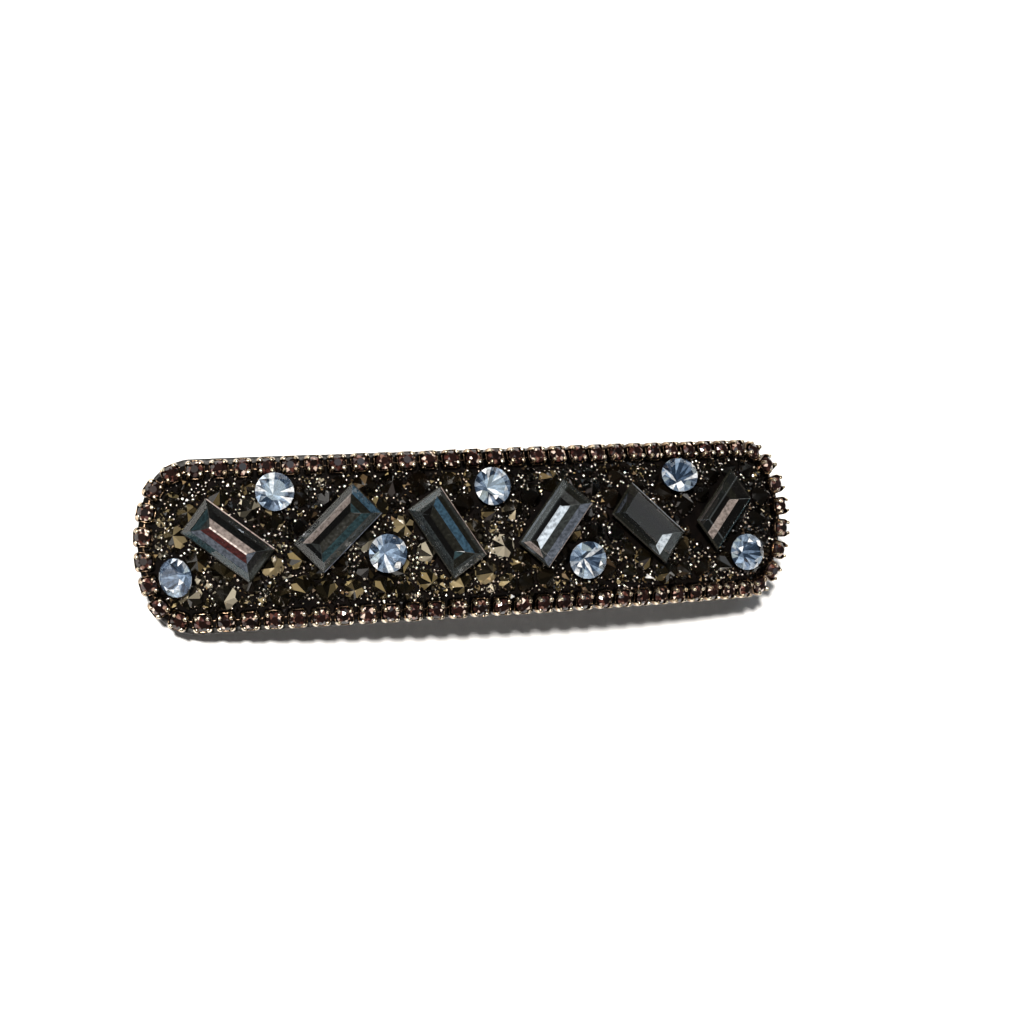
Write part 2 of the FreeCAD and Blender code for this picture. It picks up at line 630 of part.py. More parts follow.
print("rest tilt", round(rest.Rotation.Angle * 180 / math.pi, 3), "shift", [round(c, 4) for c in rest.Base])
print("hinge axis", [round(c, 4) for c in rest.multVec(pin_place().Base)])
for side in (-1, 1):
    pivot = FreeCAD.Vector(0, side * (LEG_INNER + LEG_OUTER) / 2, -LEG_TOP)
    print("leg pivot", [round(c, 4) for c in rest.multVec(catch_place().multVec(pivot))])
axis = rest.Rotation.multVec(catch_place().Rotation.multVec(FreeCAD.Vector(1, 0, 0)))
print("leg axis", [round(c, 5) for c in axis])
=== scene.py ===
import math
import random

import bmesh
import bpy
import numpy as np
from mathutils import Matrix, Vector, noise


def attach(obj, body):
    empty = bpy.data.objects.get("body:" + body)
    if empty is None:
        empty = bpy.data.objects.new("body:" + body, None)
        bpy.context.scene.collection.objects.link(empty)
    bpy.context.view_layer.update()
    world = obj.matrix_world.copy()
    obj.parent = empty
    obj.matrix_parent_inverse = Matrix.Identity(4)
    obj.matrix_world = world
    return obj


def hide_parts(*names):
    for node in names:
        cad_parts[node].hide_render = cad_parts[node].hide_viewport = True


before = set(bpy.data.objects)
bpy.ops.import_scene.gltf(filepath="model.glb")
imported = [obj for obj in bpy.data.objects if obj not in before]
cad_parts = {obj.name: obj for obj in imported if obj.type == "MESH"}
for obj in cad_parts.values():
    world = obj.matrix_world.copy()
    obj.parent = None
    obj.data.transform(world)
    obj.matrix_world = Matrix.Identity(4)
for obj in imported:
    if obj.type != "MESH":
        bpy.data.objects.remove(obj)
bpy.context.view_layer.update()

# The looks of the rhinestone hair clip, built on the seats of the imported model's solids.
# Local shapes are in millimetres; every finished mesh is in metres, in the model's frame.
MM = 0.001
SAME_POINT = 1e-6          # metres
SAME_FACE = 0.9995         # cosine between the normals of one flat face's triangles
chance = random.Random(5)


# ---- reading the model --------------------------------------------------------------------------

def connected(bm):
    """The mesh's separate solids, as lists of vertices."""
    seen = set()
    for first in bm.verts:
        if first.index in seen:
            continue
        seen.add(first.index)
        found = [first]
        for vertex in found:
            for edge in vertex.link_edges:
                other = edge.other_vert(vertex)
                if other.index not in seen:
                    seen.add(other.index)
                    found.append(other)
        yield found


def seats(node, facing):
    """Where each solid of a CAD node sits: a 4x4 place and its size in millimetres.

    Z points up, square to the largest flat face that looks up (facing 1) or down (-1), X is the
    normal of the largest upright face, and the origin lies under the flat face's middle.
    """
    bm = bmesh.new()
    bm.from_mesh(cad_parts[node].data)
    bmesh.ops.remove_doubles(bm, verts=bm.verts, dist=SAME_POINT)
    bm.verts.index_update()
    places = []
    for solid in connected(bm):
        faces = {face.index: face for vertex in solid for face in vertex.link_faces}
        faces = [faces[i] for i in sorted(faces)]
        normals = np.array([face.normal for face in faces])
        areas = np.array([face.calc_area() for face in faces])
        alike = normals @ normals.T > SAME_FACE
        share = alike @ areas
        level = np.argmax(np.where(facing * normals[:, 2] > 0.5, share, 0))
        up = facing * normals[level]
        side = normals[np.argmax(np.where(abs(normals @ up) < 0.05, share, 0))]
        side = side - up * (side @ up)
        side /= np.linalg.norm(side)
        flat = {vertex for face, same in zip(faces, alike[level]) if same for vertex in face.verts}
        middle = np.mean([vertex.co for vertex in flat], axis=0)
        axes = np.array([side, np.cross(up, side), up]).T
        local = (np.array([vertex.co for vertex in solid]) - middle) @ axes
        place = np.eye(4)
        place[:3, :3] = axes
        place[:3, 3] = middle + up * local[:, 2].min()
        places.append((place, (local.max(0) - local.min(0)) / MM))
    bm.free()
    return places


# ---- making meshes ------------------------------------------------------------------------------

class Batch:
    """One piece's mesh, gathered from many small shapes."""

    def __init__(self):
        self.points = []
        self.faces = []
        self.slots = []
        self.tints = {}
        self.count = 0

    def add(self, shape, place, slot=0, **tints):
        points, faces = shape
        self.points.append(np.asarray(points) * MM @ place[:3, :3].T + place[:3, 3])
        self.faces += [[i + self.count for i in face] for face in faces]
        self.count += len(points)
        self.slots += list(slot) if hasattr(slot, "__len__") else [slot] * len(faces)
        for name, value in tints.items():
            values = list(value) if hasattr(value, "__len__") else [value] * len(faces)
            self.tints.setdefault(name, []).extend(values)

    def build(self, name, materials, body, slot, replaced, smooth=False):
        mesh = bpy.data.meshes.new(name)
        mesh.from_pydata(np.concatenate(self.points).tolist(), [], self.faces)
        for material in materials:
            mesh.materials.append(material)
        mesh.polygons.foreach_set("material_index", self.slots)
        mesh.polygons.foreach_set("use_smooth", [smooth] * len(self.faces))
        for tint, values in self.tints.items():
            mesh.attributes.new(tint, "FLOAT", "FACE").data.foreach_set("value", values)
        settle(mesh, name, body, replaced)


def settle(mesh, name, body, replaced):
    """Hands a finished mesh to the frame: its body and the nodes it replaces."""
    mesh.update()
    piece = bpy.data.objects.new(name, mesh)
    bpy.context.scene.collection.objects.link(piece)
    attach(piece, body)
    if replaced:
        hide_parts(*replaced)


def lofted(rings):
    """A closed skin through rings with the same number of points."""
    count = len(rings[0])
    faces = []
    for k in range(len(rings) - 1):
        for i in range(count):
            j = (i + 1) % count
            faces.append([k * count + i, k * count + j, (k + 1) * count + j, (k + 1) * count + i])
    faces.append(list(range(count))[::-1])
    faces.append([(len(rings) - 1) * count + i for i in range(count)])
    return np.concatenate(rings), faces


def smooth_step(low, high, x):
    """0 below low, 1 above high, and a soft ramp between them."""
    t = min(1.0, max(0.0, (x - low) / (high - low)))
    return t * t * (3 - 2 * t)


def grey(value):
    """A neutral colour."""
    return (value, value, value)


def polar(radius, degrees, z):
    """A point given by its reach from the Z axis, its turn and its height."""
    angle = math.radians(degrees)
    return (radius * math.cos(angle), radius * math.sin(angle), z)


# ---- painted reflection tones of the baguettes' foiled backs ------------------------------------

# painted reflections: each tone is a place on the foil's colour ramp
TONES = BLACK, OLIVE, MAROON, SLATE, TEAL, BLUE, STEEL, ROSE, ICE = [k / 8 for k in range(9)]
TONE_COLOURS = [grey(0.003), (0.014, 0.014, 0.010), (0.07, 0.014, 0.013), (0.042, 0.048, 0.048),
                (0.025, 0.055, 0.065), (0.05, 0.11, 0.17), (0.13, 0.15, 0.19), (0.42, 0.35, 0.32),
                (0.66, 0.74, 0.82)]


# ---- shapes -------------------------------------------------------------------------------------

# Cups of the border chain
CUP_CORNER = 0.55
CUP_WALL = 0.13
CUP_WALL_TOP = 0.86
CUP_FLOOR = 0.25
CUP_DRAFT = 0.07           # the walls draw in as they rise
CUP_LEAN = 0.42            # prongs bend in over the stone
PRONG_HALF_WIDTH = 0.20
PRONG_FOOT = 0.52          # where a prong has run out into the wall's rim
PRONG_BEAD = 0.26          # radius of the rounded tip
PRONG_SHINE = (0.95, 1.35)         # heights where a prong starts to be rubbed bright, and is
RIM_SHINE = 0.32           # the walls' rim is rubbed less than the prongs
RIM_SHINE_FROM = 0.6

# Links
LINK_WAIST = 0.62          # width at the middle, as a share of the width at the ends
LINK_REACH = 0.8           # half its length over the CAD link's: the ends run in under the cups
LINK_ROUNDNESS = 0.6
LINK_SHINE = 0.25

# Main facets of the round stones
CHAIN_FOLD = 8
ROUND_FOLD = 10

# Shares of a cut stone's size
STAR_SHARE = 0.42          # the star facets' reach from the table's edge towards the girdle
LOWER_SHARE = 0.34         # the lower girdle facets' reach in towards the culet
BELT_SHARE = 0.8           # where a pointed stone's long facets give way to the small ones
STEP_GIRDLE = 0.62         # a baguette's girdle over its height
KEEL_INSET = 0.92          # inset of its keel's ends over its half width
# the steps of its back: half width and inset of the ends over its half width, height over its height
BACK_STEPS = [(0.36, 0.64, 0.10), (0.68, 0.32, 0.30)]
KEEL_HALF_WIDTH = 0.10     # these two are sizes, not shares
GIRDLE_EDGE = 0.12


def cup_outline(side):
    """Points round a rounded square: place, outward direction, distance from the nearest corner."""
    half = side / 2
    straight = half - CUP_CORNER
    outline = []
    for quarter in range(4):
        turn = math.radians(90 * quarter)
        spots = []
        for k in range(7):
            angle = math.radians(90 * k / 6)
            out = (math.cos(angle), math.sin(angle))
            spots.append((straight + CUP_CORNER * out[0], straight + CUP_CORNER * out[1], out,
                          abs(angle - math.pi / 4) * CUP_CORNER))
        for k in range(1, 7):
            back = 2 * straight * k / 7
            reach = min(back, 2 * straight - back) + math.pi / 4 * CUP_CORNER
            spots.append((straight - back, half, (0.0, 1.0), reach))
        for x, y, out, reach in spots:
            c, s = math.cos(turn), math.sin(turn)
            outline.append((x * c - y * s, x * s + y * c, out[0] * c - out[1] * s,
                            out[0] * s + out[1] * c, reach))
    return outline


def cup(side, prong_top):
    """A stamped square cup: thin walls, scooped rims and four prongs bent over the stone.

    Returns its shape and how brightly each face is rubbed.
    """
    outline = cup_outline(side)
    levels = []

    def ring(share, inset, base=0.0, lift=0.0):
        """The outline drawn in by an inset, at a share of the way from a base up to the rim."""
        points = []
        for x, y, nx, ny, reach in outline:
            prong = 1 - smooth_step(PRONG_HALF_WIDTH, PRONG_FOOT, reach)
            rim = CUP_WALL_TOP + (prong_top - CUP_WALL_TOP) * prong
            z = base + (rim - base) * share
            bend = max(0.0, z - CUP_WALL_TOP) / (prong_top - CUP_WALL_TOP)
            drawn = CUP_LEAN * bend ** 1.4 + CUP_DRAFT * min(1.0, z / CUP_WALL_TOP)
            inward = 1 - drawn / math.hypot(x, y)
            points.append(((x - nx * inset) * inward, (y - ny * inset) * inward,
                           z + lift * (1 - 0.4 * prong)))
            levels.append(z)
        return points

    rings = [ring(0, 0.1), ring(0, 0.03, 0.04), ring(0, 0, 0.12)]
    rings += [ring(k / 7, 0, 0.45) for k in range(8)]
    rings += [ring(1, 0.03, lift=0.035), ring(1, CUP_WALL - 0.04, lift=0.03)]
    rings += [ring(k / 5, CUP_WALL, 0.5) for k in (5, 4, 3, 2, 1, 0)]
    rings += [ring(0, CUP_WALL + 0.02, CUP_FLOOR)]
    shape = lofted([np.array(r) for r in rings])
    tall = np.array(levels)
    shine = []
    for face in shape[1]:
        level = float(np.mean(tall[face]))
        shine.append(RIM_SHINE * smooth_step(RIM_SHINE_FROM, CUP_WALL_TOP, level)
                     + (1 - RIM_SHINE) * smooth_step(*PRONG_SHINE, level))
    return shape, shine


def link(length, width, depth):
    """The waisted strip that joins two cups."""
    rings = []
    for k in range(9):
        along = k / 4 - 1
        waist = LINK_WAIST + (1 - LINK_WAIST) * along * along
        ring = []
        for i in range(12):
            c, s = math.cos(math.pi * i / 6), math.sin(math.pi * i / 6)
            y = math.copysign(abs(c) ** LINK_ROUNDNESS, c) * width / 2 * waist
            z = math.copysign(abs(s) ** LINK_ROUNDNESS, s) * depth / 2 + depth / 2
            ring.append((along * length * LINK_REACH, y, z))
        rings.append(ring)
    return lofted([np.array(r) for r in rings])


def brilliant(fold, radius, girdle, girdle_depth, table, height):
    """A round brilliant, point down. Returns its shape and each face's kind: 0 crown, 1 pavilion.

    Fold is the number of its main facets, and radius, table and the heights are its sizes.
    """
    step = 180 / fold
    flank = math.cos(math.pi / fold)

    def plane_height(reach, inner, inner_z, outer, outer_z):
        """Height of a corner on the main facet's plane through two of its corners."""
        return inner_z + (reach * flank - inner) * (outer_z - inner_z) / (outer - inner)

    high = girdle + girdle_depth
    star = table + STAR_SHARE * (radius - table)
    lower = LOWER_SHARE * radius
    star_z = plane_height(star, table, height, radius, high)
    lower_z = plane_height(lower, 0, 0, radius, girdle)
    points = [polar(table, 2 * step * i, height) for i in range(fold)]
    points += [polar(star, 2 * step * i + step, star_z) for i in range(fold)]
    points += [polar(radius, step * i, high) for i in range(2 * fold)]
    points += [polar(radius, step * i, girdle) for i in range(2 * fold)]
    points += [polar(lower, 2 * step * i + step, lower_z) for i in range(fold)]
    points.append((0, 0, 0))
    culet = len(points) - 1
    crown = [list(range(fold))]
    under = []
    for i in range(fold):
        before = (i - 1) % fold
        rim = [2 * fold + (2 * i + k) % (2 * fold) for k in range(3)]
        low = [n + 2 * fold for n in rim]
        tip, next_tip = 6 * fold + before, 6 * fold + i
        crown += [[i, fold + i, (i + 1) % fold], [i, fold + i, rim[0], fold + before],
                  [fold + i, rim[0], rim[1]], [fold + i, rim[1], rim[2]],
                  [rim[0], rim[1], low[1], low[0]], [rim[1], rim[2], low[2], low[1]]]
        under += [[culet, next_tip, low[0], tip], [low[0], low[1], next_tip], [low[1], low[2], next_tip]]
    return outward(points, crown + under), [0] * len(crown) + [1] * len(under)


def outward(points, faces):
    """The same faces, each wound so that it looks away from the shape's middle."""
    points = np.array(points, float)
    middle = points.mean(0)
    turned = []
    for face in faces:
        corners = points[face]
        normal = np.zeros(3)
        for i in range(len(face)):
            normal += np.cross(corners[i] - corners[0], corners[(i + 1) % len(face)] - corners[0])
        turned.append(face if normal @ (corners.mean(0) - middle) > 0 else face[::-1])
    return points, turned


def pointed(radius, rim, height):
    """A pointed stone, tip up: eight long facets and sixteen small ones along its rim."""
    belt = BELT_SHARE * radius
    reach = belt * math.cos(math.pi / 8)
    points = [polar(radius, 22.5 * i, 0) for i in range(16)]
    points += [polar(radius, 22.5 * i, rim) for i in range(16)]
    points += [polar(belt, 45 * i + 22.5, height - (height - rim) * reach / radius) for i in range(8)]
    points.append((0, 0, height))
    faces = [list(range(16))]
    for i in range(16):
        faces.append([i, (i + 1) % 16, 16 + (i + 1) % 16, 16 + i])
    for i in range(8):
        first, second, third = 16 + 2 * i, 17 + 2 * i, 16 + (2 * i + 2) % 16
        faces += [[40, 32 + (i - 1) % 8, first, 32 + i], [first, second, 32 + i], [second, third, 32 + i]]
    return outward(points, faces)


def step_cut(width, length, height, bands, ends, rim):
    """A step-cut baguette along Y. Returns its shape, each face's kind and its tone.

    Kinds are 0 for the clear crown and 1 for the foiled back and the girdle. Bands are the painted
    reflection tones of the back's six long steps from -X to +X, ends those of the three steps at its -Y and
    +Y ends from the outside in, and rim that of the girdle's edge on the +X side, a painted highlight.
    """
    w, l = width / 2, length / 2
    girdle = STEP_GIRDLE * height
    back = [(KEEL_HALF_WIDTH, l - KEEL_INSET * w, 0.0)]
    back += [(half * w, l - inset * w, share * height) for half, inset, share in BACK_STEPS]
    back += [(w - 0.04, l - 0.04, girdle - 0.06)]
    edge = [(w, l, girdle), (w, l, girdle + GIRDLE_EDGE), (w - 0.13, l - 0.13, girdle + 0.27)]
    crown = [(w - 0.76, l - 0.76, height - 0.10), (w - 0.90, l - 0.90, height)]
    rings = back + edge + crown
    points = []
    for x, y, z in rings:
        cut = 0.05 if z > 0 else 0.0
        for sx, sy in ((1, 1), (-1, 1), (-1, -1), (1, -1)):
            pair = [(sx * x, sy * (y - cut), z), (sx * (x - cut), sy * y, z)]
            points += pair if sx * sy > 0 else pair[::-1]
    shape = lofted([np.array(points[8 * k:8 * k + 8]) for k in range(len(rings))])
    kinds, tones = [], []
    steps = len(back) - 1
    for k in range(len(rings) - 1):
        clear = k >= steps + len(edge)
        if k < steps:
            low, high = bands[steps - 1 - k], bands[steps + k]
            inward = steps - 1 - k
            sides = [SLATE, ends[1][inward], SLATE, low, SLATE, ends[0][inward], SLATE, high]
        else:
            sides = [OLIVE] * 7 + [rim]
        kinds += [0 if clear else 1] * 8
        tones += [chance.random() if clear else tone for tone in sides]
    return shape, kinds + [1, 0], tones + [bands[3], 0.0]


def bead(rounds):
    """A small ball."""
    bm = bmesh.new()
    bmesh.ops.create_icosphere(bm, subdivisions=rounds, radius=1.0)
    shape = np.array([v.co for v in bm.verts]), [[v.index for v in face.verts] for face in bm.faces]
    bm.free()
    return shape


def tilted(place, about_x, about_y, pivot=0.0):
    """The place leaned about its own X and Y, in degrees, round a point above its origin."""
    lean = Matrix.Translation((0, 0, pivot * MM))
    lean = lean @ Matrix.Rotation(math.radians(about_x), 4, "X")
    lean = lean @ Matrix.Rotation(math.radians(about_y), 4, "Y")
    lean = lean @ Matrix.Translation((0, 0, -pivot * MM))
    return place @ np.array(lean)


def leaned(place, towards_x, towards_y, pivot):
    """The place tipped so that its top moves towards +X and +Y, in degrees, about a point above it."""
    centre = place[:3, 3] + place[:3, 2] * pivot * MM
    tip = Matrix.Rotation(math.radians(towards_x), 3, "Y")
    tip = tip @ Matrix.Rotation(math.radians(-towards_y), 3, "X")
    moved = place.copy()
    moved[:3, :3] = np.array(tip) @ place[:3, :3]
    moved[:3, 3] = centre - moved[:3, 2] * pivot * MM
    return moved


def spun(place, degrees):
    """The place turned about its own Z."""
    return place @ np.array(Matrix.Rotation(math.radians(degrees), 4, "Z"))


# ---- materials ----------------------------------------------------------------------------------

def shader(name, **settings):
    """A Principled material with its constants set on the shader's own sockets."""
    material = bpy.data.materials.new(name)
    material.use_nodes = True
    bsdf = material.node_tree.nodes["Principled BSDF"]
    for key, value in settings.items():
        bsdf.inputs[key.replace("_", " ")].default_value = value
    return material, material.node_tree, bsdf


def add(tree, kind, links=(), values=(), **settings):
    """A new shader node with its sockets linked or set."""
    node = tree.nodes.new("ShaderNode" + kind)
    for key, value in settings.items():
        setattr(node, key, value)
    for socket, value in dict(values).items():
        node.inputs[socket].default_value = value
    for socket, source in dict(links).items():
        tree.links.new(source, node.inputs[socket])
    return node


def ramp(tree, source, *stops):
    """A colour ramp over a value, from (place, colour) stops."""
    node = add(tree, "ValToRGB", {"Fac": source})
    stop = node.color_ramp.elements
    while len(stop) < len(stops):
        stop.new(0.5)
    for element, (place, colour) in zip(stop, stops):
        element.position = place
        element.color = (*colour, 1)
    return node.outputs["Color"]


def noise_at(tree, scale, detail=3.0, stretch=None):
    """Noise fixed to the object, its scale in cycles per millimetre."""
    place = add(tree, "TexCoord").outputs["Object"]
    if stretch:
        place = add(tree, "Mapping", {"Vector": place}, {"Scale": stretch}).outputs["Vector"]
    values = {"Scale": scale / MM, "Detail": detail}
    return add(tree, "TexNoise", {"Vector": place}, values).outputs["Fac"]


def bumped(tree, bsdf, height, strength, distance):
    """Relief from a height, its depth in millimetres."""
    bump = add(tree, "Bump", {"Height": height}, {"Strength": strength, "Distance": distance * MM})
    tree.links.new(bump.outputs["Normal"], bsdf.inputs["Normal"])


def attribute(tree, name):
    """The value that each face carries under a name."""
    return add(tree, "Attribute", attribute_name=name).outputs["Fac"]


def multiplied(tree, a, b):
    """The product of two colours."""
    node = add(tree, "Mix", data_type="RGBA", blend_type="MULTIPLY")
    node.inputs["Factor"].default_value = 1.0
    tree.links.new(a, node.inputs["A"])
    tree.links.new(b, node.inputs["B"])
    return node.outputs["Result"]


def antique_gold():
    """Gold plate, dark in the corners and rubbed bright on the prongs, with a painted highlight on the
    front run.
    """
    material, tree, bsdf = shader("antique_gold", Metallic=1.0)
    # the shine carries real wear and, on the front run, a painted highlight
    wear_and_painted_highlight = ramp(tree, attribute(tree, "shine"), (0.0, (0.035, 0.022, 0.015)),
                  (0.35, (0.20, 0.13, 0.08)), (0.7, (0.55, 0.42, 0.28)), (1.0, (0.95, 0.84, 0.66)))
    stain = ramp(tree, noise_at(tree, 1.6), (0.35, grey(0.55)), (0.65, grey(1.0)))
    tree.links.new(multiplied(tree, wear_and_painted_highlight, stain), bsdf.inputs["Base Color"])
    rough = ramp(tree, noise_at(tree, 4.0), (0.3, grey(0.14)), (0.7, grey(0.26)))
    tree.links.new(rough, bsdf.inputs["Roughness"])
    bumped(tree, bsdf, noise_at(tree, 7.0), 0.25, 0.02)
    return material


def smoked_topaz():
    """The dark reddish stones of the border chain, each facet painted a random reflection tone, a few as
    bright glints.
    """
    material, tree, bsdf = shader("smoked_topaz", Metallic=0.35, Roughness=0.12, IOR=1.5,
                                  Coat_Weight=0.5, Coat_Roughness=0.03)
    # painted reflections: a random tone for each facet, the brightest painted as glints
    colour = ramp(tree, attribute(tree, "facet"), (0.0, (0.004, 0.002, 0.002)),
                  (0.55, (0.016, 0.006, 0.005)), (0.8, (0.07, 0.022, 0.017)),
                  (0.92, (0.22, 0.12, 0.09)), (1.0, (1.0, 0.82, 0.70)))
    tree.links.new(colour, bsdf.inputs["Base Color"])
    return material


def bronze_mirror():
    """The fill's mirror-coated glass, from near black to bronze, each facet painted lit or dark at random.
    """
    material, tree, bsdf = shader("bronze_mirror_glass", Metallic=0.4, IOR=1.5, Coat_Weight=0.4,
                                  Coat_Roughness=0.03)
    tone = ramp(tree, attribute(tree, "tone"), (0.0, (0.16, 0.12, 0.09)), (0.35, (0.30, 0.19, 0.10)),
                (0.65, (0.39, 0.30, 0.14)), (0.9, (0.54, 0.43, 0.25)), (1.0, (0.56, 0.50, 0.38)))
    # painted light: most facets painted near black, a few painted lit
    facet = ramp(tree, attribute(tree, "facet"), (0.0, grey(0.004)), (0.62, grey(0.02)), (0.74, grey(0.35)),
                 (1.0, grey(1.0)))
    tree.links.new(multiplied(tree, tone, facet), bsdf.inputs["Base Color"])
    rough = ramp(tree, noise_at(tree, 1.2), (0.3, grey(0.09)), (0.7, grey(0.17)))
    tree.links.new(rough, bsdf.inputs["Roughness"])
    return material


def bright_bead():
    """Tiny metal balls, bronze to silver."""
    material, tree, bsdf = shader("bright_bead", Metallic=1.0, Roughness=0.16)
    colour = ramp(tree, attribute(tree, "tone"), (0.0, (0.16, 0.12, 0.09)), (0.5, (0.66, 0.56, 0.46)),
                  (1.0, (1.0, 0.95, 0.88)))
    tree.links.new(colour, bsdf.inputs["Base Color"])
    return material


def crystal(name, clear, *stops):
    """A polished clear crown over a foiled back: thin enough to see straight through; each crown facet
    carries a painted reflection tone.
    """
    material, tree, bsdf = shader(name, IOR=2.2, Alpha=1 - clear, Coat_Weight=0.6, Coat_Roughness=0.01)
    # painted reflections: a tone for each crown facet
    colour = ramp(tree, attribute(tree, "facet"), *stops)
    haze = ramp(tree, noise_at(tree, 0.5), (0.35, grey(0.7)), (0.7, grey(1.0)))
    tree.links.new(multiplied(tree, colour, haze), bsdf.inputs["Base Color"])
    rough = ramp(tree, noise_at(tree, 0.9), (0.45, grey(0.02)), (0.8, grey(0.09)))
    tree.links.new(rough, bsdf.inputs["Roughness"])
    return material


def foil(name, metallic, low, high, *stops):
    """The mirrored back of a stone, each facet with its own painted reflection tone."""
    material, tree, bsdf = shader(name, Metallic=metallic)
    # painted reflections: a tone for each facet of the back
    colour = ramp(tree, attribute(tree, "facet"), *stops)
    speck = ramp(tree, noise_at(tree, 2.5, 6.0), (0.38, grey(0.45)), (0.6, grey(1.0)))
    tree.links.new(multiplied(tree, colour, speck), bsdf.inputs["Base Color"])
    rough = ramp(tree, noise_at(tree, 3.0), (0.3, grey(low)), (0.75, grey(high)))
    tree.links.new(rough, bsdf.inputs["Roughness"])
    bumped(tree, bsdf, noise_at(tree, 5.0, 4.0), 0.3, 0.02)
    return material


def dark_resin():
    """Cured black glue."""
    material, tree, bsdf = shader("dark_resin", Roughness=0.8, Specular_IOR_Level=0.04)
    colour = ramp(tree, noise_at(tree, 0.8), (0.3, (0.0007, 0.0005, 0.0005)),
                  (0.75, (0.003, 0.0018, 0.0014)))
    tree.links.new(colour, bsdf.inputs["Base Color"])
    bumped(tree, bsdf, noise_at(tree, 2.2), 0.5, 0.08)
    return material


def backing_leather():
    """Black leather with a fine pebbled grain, darkened in the grain's creases by painted shade."""
    material, tree, bsdf = shader("backing_leather", Specular_IOR_Level=0.3, Sheen_Weight=0.05)
    place = add(tree, "TexCoord").outputs["Object"]
    pebble = add(tree, "TexVoronoi", {"Vector": place}, {"Scale": 2.6 / MM}).outputs["Distance"]
    colour = ramp(tree, noise_at(tree, 0.35), (0.3, (0.006, 0.005, 0.0045)),
                  (0.7, (0.018, 0.015, 0.013)))
    # painted shade: the grain's creases are painted darker
    crease_shade = ramp(tree, pebble, (0.1, grey(1.0)), (0.8, grey(0.55)))
    tree.links.new(multiplied(tree, colour, crease_shade), bsdf.inputs["Base Color"])
    rough = ramp(tree, pebble, (0.0, grey(0.42)), (0.8, grey(0.7)))
    tree.links.new(rough, bsdf.inputs["Roughness"])
    bumped(tree, bsdf, pebble, 0.6, -0.08)
    return material


def plated(name, light, dark, rough_low, rough_high, grain):
    """Nickel-plated or rolled steel, its grain along the strip."""
    material, tree, bsdf = shader(name, Metallic=1.0)
    colour = ramp(tree, noise_at(tree, 0.25, 5.0), (0.3, dark), (0.65, light))
    tree.links.new(colour, bsdf.inputs["Base Color"])
    lines = noise_at(tree, 1.0, 4.0, stretch=grain)
    rough = ramp(tree, lines, (0.3, grey(rough_low)), (0.7, grey(rough_high)))
    tree.links.new(rough, bsdf.inputs["Roughness"])
    bumped(tree, bsdf, lines, 0.15, 0.02)
    return material


gold = antique_gold()
topaz = smoked_topaz()
bronze = bronze_mirror()
bead_metal = bright_bead()
smoky_glass = crystal("smoky_crystal", 0.74, (0.0, grey(0.004)), (0.7, (0.02, 0.025, 0.025)),
                      (1.0, (0.16, 0.18, 0.19)))
smoky_foil = foil("smoky_foil", 0.25, 0.14, 0.30, *zip(TONES, TONE_COLOURS))
ice_glass = crystal("ice_blue_crystal", 0.76, (0.0, (0.004, 0.006, 0.012)), (0.5, (0.03, 0.06, 0.11)),
                    (0.75, (0.30, 0.42, 0.60)), (1.0, (0.85, 1.0, 1.0)))
ice_foil = foil("ice_blue_foil", 0.2, 0.10, 0.2, (0.0, (0.006, 0.009, 0.016)),
                (0.35, (0.023, 0.037, 0.065)), (0.6, (0.09, 0.13, 0.20)), (0.82, (0.29, 0.39, 0.53)),
                (0.96, (1.0, 1.0, 1.0)))
resin = dark_resin()
leather = backing_leather()
nickel = plated("nickel_steel", (0.50, 0.48, 0.455), (0.36, 0.345, 0.325), 0.16, 0.34, (0.25, 6.0, 6.0))
spring = plated("spring_steel", (0.38, 0.38, 0.385), (0.27, 0.27, 0.28), 0.22, 0.42, (0.15, 9.0, 9.0))


# ---- border chain -------------------------------------------------------------------------------

RUNS = ("front", "catch_end", "rear", "hinge_end")
FRONT_PAINTED_LIGHT = (1.0, 1.6)    # painted highlight: the front run is painted brighter than the others
OTHER_PAINTED_LIGHT = (0.6, 0.95)
prong_ball = bead(2)

